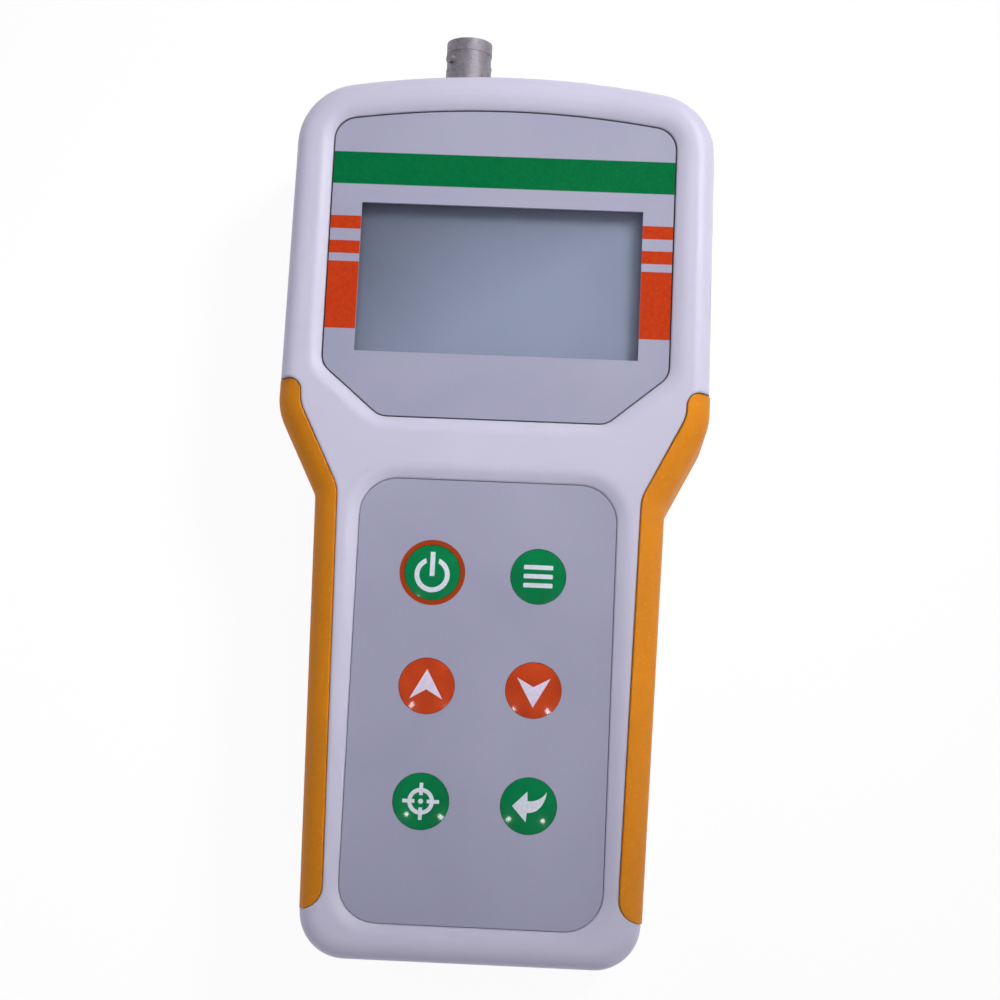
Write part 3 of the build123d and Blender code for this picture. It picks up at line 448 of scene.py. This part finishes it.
DRESSING = {
    housing: ("front_shell", "rear_shell", "battery_door"),
    grip: ("grip_left", "grip_right"),
    silicone: ("shell_gasket", "display_contact_strips"),
    foam: ("display_foam",),
    black: (
        "display_frame",
        "switch_bodies",
        "temperature_jack",
        *(f"switch_plunger_{key}" for key in KEY_AT),
    ),
    milky: ("display_backlight",),
    white_ptfe: ("socket_insulator",),
    chip: ("processor_chip", "converter_chip"),
    sleeve: ("battery_cells",),
    lead: ("sensor_leads", "battery_leads"),
    key_green: ("key_power", "key_menu", "key_calibrate", "key_enter"),
    key_orange: ("key_up", "key_down"),
    nickel: ("socket_body", "socket_nut", "socket_washer"),
    plated: ("contact_plates", "contact_leaves", "temperature_jack_nut"),
    zinc: ("case_screws", "board_screws"),
    can: ("board_capacitors",),
    gold: ("socket_contact",),
    board: ("main_board",),
    lcd: ("display_glass",),
    window: ("display_window",),
    panel_print: ("display_panel",),
    keypad_print: ("keypad_plate",),
}
for material, nodes in DRESSING.items():
    for node in nodes:
        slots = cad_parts[node].data.materials
        slots.clear()
        slots.append(material)


# Outlines of the printed marks, in millimetres from a key's centre
def arc(centre, radius, start, end, steps):
    """Points along an arc, angles in degrees."""
    points = []
    for step in range(steps + 1):
        angle = math.radians(start + (end - start) * step / steps)
        points.append((centre[0] + radius * math.cos(angle), centre[1] + radius * math.sin(angle)))
    return points


def ring_part(outer, inner, start, end, steps, centre=(0, 0), trim=0.0):
    """Part of a ring between two angles in degrees; its inner edge may be trimmed at both ends."""
    return arc(centre, outer, start, end, steps) + arc(centre, inner, end - trim, start + trim, steps)


def bar(x_low, x_high, y_low, y_high, corner):
    """A bar with rounded corners."""
    points = []
    for x, y, start in (
        (x_high - corner, y_high - corner, 0),
        (x_low + corner, y_high - corner, 90),
        (x_low + corner, y_low + corner, 180),
        (x_high - corner, y_low + corner, 270),
    ):
        points += arc((x, y), corner, start, start + 90, 4)
    return points


def power_mark():
    """An open ring with a bar in its gap."""
    ring = ring_part(
        outer=3.5, inner=2.54, start=112.5, end=427.5, steps=60, centre=(0.0, -0.49), trim=3.5
    )
    return [ring, bar(-0.48, 0.48, -0.77, 4.09, corner=0.06)]


def menu_mark():
    """Three bars, one above another."""
    length, thickness, pitch = 5.8, 0.9, 1.8
    return [
        bar(-length / 2, length / 2, middle - thickness / 2, middle + thickness / 2, corner=0.2)
        for middle in (pitch, 0.0, -pitch)
    ]


def target_mark():
    """A ring in two halves, four ticks across it and a dot."""
    near, far, half, corner = 1.2, 3.6, 0.36, 0.1
    return [
        *(ring_part(outer=2.6, inner=1.8, start=start, end=start + 180, steps=30) for start in (0, 180)),
        bar(-far, -near, -half, half, corner),
        bar(near, far, -half, half, corner),
        bar(-half, half, near, far, corner),
        bar(-half, half, -far, -near, corner),
        arc((0, 0), radius=0.5, start=0, end=330, steps=11),
    ]


def enter_mark():
    """An arrow to the left with a curved tail."""
    def sweep(start, start_handle, end_handle, end):
        ends_and_handles = (Vector(point) for point in (start, start_handle, end_handle, end))
        return interpolate_bezier(*ends_and_handles, MARK_CURVE_POINTS)
    tip = (3.48, 2.84)
    lower = sweep((-0.27, -1.33), (2.08, -1.43), (3.3, 0.79), tip)
    upper = sweep(tip, (2.73, 1.57), (1.27, 0.76), (-0.22, 0.96))
    return [[(-3.2, -0.12), (-0.42, -3.13), *lower, *upper[1:], (-0.30, 2.80)]]


def dome_height(x, y):
    """Height of a key's domed top over a point near its centre, in millimetres."""
    radius = (KEY_RADIUS ** 2 + KEY_CROWN ** 2) / (2 * KEY_CROWN)
    return KEY_TOP - radius + math.sqrt(radius ** 2 - x * x - y * y)


def split_edges(outline):
    """The outline's corners with more points between them, no further apart than a step."""
    points = []
    for start, end in zip(outline, [*outline[1:], outline[0]]):
        first, last = Vector(start), Vector(end)
        parts = max(1, math.ceil((last - first).length / MARK_STEP))
        points += [first.lerp(last, part / parts) for part in range(parts)]
    return points


def mark(name, outlines, centre, material):
    """A thin printed mark inside closed outlines, which follows the dome of the key at the centre."""
    border, faces = [], []
    for outline in outlines:
        corners = split_edges(outline)
        faces.append(list(range(len(border), len(border) + len(corners))))
        border += corners
    across = [number * MARK_STEP for number in range(-MARK_GRID, MARK_GRID + 1)]
    inside = [Vector((x, y)) for x in across for y in across]
    points, _, triangles, _, _, sources = delaunay_2d_cdt(border + inside, [], faces, 1, 1e-5)
    mesh = bmesh.new()
    made = [
        mesh.verts.new((
            (point.x + centre[0]) * MM,
            (point.y + centre[1]) * MM,
            (dome_height(point.x, point.y) + MARK_LIFT) * MM,
        ))
        for point in points
    ]
    for triangle, source in zip(triangles, sources):
        if source:
            mesh.faces.new([made[index] for index in triangle])
    loose = [vertex for vertex in mesh.verts if not vertex.link_faces]
    bmesh.ops.delete(mesh, geom=loose, context="VERTS")
    bmesh.ops.recalc_face_normals(mesh, faces=mesh.faces)
    if sum(face.normal.z for face in mesh.faces) < 0:
        bmesh.ops.reverse_faces(mesh, faces=mesh.faces)
    bmesh.ops.solidify(mesh, geom=mesh.faces, thickness=-MARK_THICKNESS * MM)
    data = bpy.data.meshes.new(name)
    mesh.to_mesh(data)
    mesh.free()
    data.materials.append(material)
    return add_object(name, data)


cool_print = ink("cool_print", srgb(236, 242, 250))
lavender_print = ink("lavender_print", srgb(243, 231, 252))
MARKS = (
    ("power", power_mark(), cool_print, "key_green"),
    ("menu", menu_mark(), cool_print, "key_green"),
    ("up", [[(0, 3.3), (-3.27, -2.6), (0, -0.7), (3.27, -2.6)]], lavender_print, "key_orange"),
    ("down", [[(0, -3.45), (3.32, 2.43), (0, 0.6), (-3.32, 2.43)]], lavender_print, "key_orange"),
    ("calibrate", target_mark(), cool_print, "key_green"),
    ("enter", enter_mark(), cool_print, "key_green"),
)
for key, outlines, material, slot in MARKS:
    piece = mark(f"{key}_mark", outlines, KEY_AT[key], material)
    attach(piece, f"{key}_key")

# Floor, seen as white, with the meter's shadow
FLOOR_HALF_SIZE = 3.0
FLOOR_DROP = 0.00005
floor_look = Look("floor")
floor_look.set(Base_Color=(0.83, 0.82, 0.9, 1.0), Roughness=0.9)
ray = floor_look.nodes.new("ShaderNodeLightPath")
seen = floor_look.math("MAXIMUM", ray.outputs["Is Camera Ray"], ray.outputs["Is Glossy Ray"])
seen = floor_look.math("MAXIMUM", seen, ray.outputs["Is Transmission Ray"])
bright = floor_look.nodes.new("ShaderNodeEmission")
bright.inputs["Color"].default_value = (1.0, 1.0, 1.0, 1.0)
bright.inputs["Strength"].default_value = 1.07
floor_look.lay_over(floor_look.math("MULTIPLY", seen, 0.86), bright.outputs[0])
floor_mesh = bmesh.new()
bmesh.ops.create_grid(floor_mesh, x_segments=8, y_segments=8, size=FLOOR_HALF_SIZE)
floor_data = bpy.data.meshes.new("floor")
floor_mesh.to_mesh(floor_data)
floor_mesh.free()
floor_data.materials.append(floor_look.material)
floor = add_object("floor", floor_data)
floor.location = (0.0, 0.0, -FLOOR_DROP)


def lamp(name, place, size, power, target=(0, 0, 0.02), colour=(1.0, 1.0, 1.0), spread=180):
    """A soft rectangular lamp that faces a point; the spread in degrees narrows its beam."""
    data = bpy.data.lights.new(name, "AREA")
    data.shape = "RECTANGLE"
    data.size, data.size_y = size
    data.energy = power
    data.color = colour
    data.spread = math.radians(spread)
    item = add_object(name, data)
    item.location = place
    item.rotation_euler = (Vector(target) - Vector(place)).to_track_quat("-Z", "Y").to_euler()


key_lamp_target = (0, 0.045, 0.02)
lamp("key_lamp", (0.26, 0.27, 0.41), (0.2, 0.2), 0.112, key_lamp_target, (1.0, 0.99, 0.98), spread=35)
lamp("fill_lamp", (-0.9, 0.5, 0.9), (0.9, 0.9), 2.6, colour=(0.96, 0.97, 1.0))
lamp("side_lamp", (0.62, 0.02, 0.16), (0.25, 0.15), 0.48)
lamp("foot_lamp", (0.1, -0.8, 0.35), (0.8, 0.4), 0.5)
lamp("low_lamp_left", (-0.23, -0.195, 0.9), (0.045, 0.045), 0.28)
lamp("low_lamp_right", (0.175, -0.205, 0.9), (0.045, 0.045), 0.28)

# Dim lavender studio round the meter, seen as white
world = bpy.data.worlds.new("studio")
bpy.context.scene.world = world
world.use_nodes = True
tree = world.node_tree
soft = tree.nodes["Background"]
soft.inputs["Color"].default_value = (0.93, 0.91, 1.08, 1.0)
soft.inputs["Strength"].default_value = 0.21
white = tree.nodes.new("ShaderNodeBackground")
white.inputs["Color"].default_value = (1.0, 1.0, 1.0, 1.0)
ray = tree.nodes.new("ShaderNodeLightPath")
surface = tree.nodes["World Output"].inputs["Surface"]
mix_shaders(tree, ray.outputs["Is Camera Ray"], soft.outputs[0], white.outputs[0], surface)

# Camera at the photograph's viewing angle, its place in millimetres
CAMERA_PLACE = Vector((16.9, -71.2, 466.3))
LOOK_ALONG = Vector((-0.0334, 0.1647, -0.9858)).normalized()
PICTURE_UP = Vector((-0.0403, 0.9853, 0.166))
camera_data = bpy.data.cameras.new("camera")
camera_data.lens = 79.2
camera_data.sensor_width = 36.0
camera_data.clip_start = 0.01
camera = add_object("camera", camera_data)
right = LOOK_ALONG.cross(PICTURE_UP).normalized()
upward = right.cross(LOOK_ALONG)
turn = Matrix((right, upward, -LOOK_ALONG)).transposed().to_4x4()
camera.matrix_world = Matrix.Translation(CAMERA_PLACE * MM) @ turn
bpy.context.scene.camera = camera

bpy.context.scene.view_settings.view_transform = "Standard"
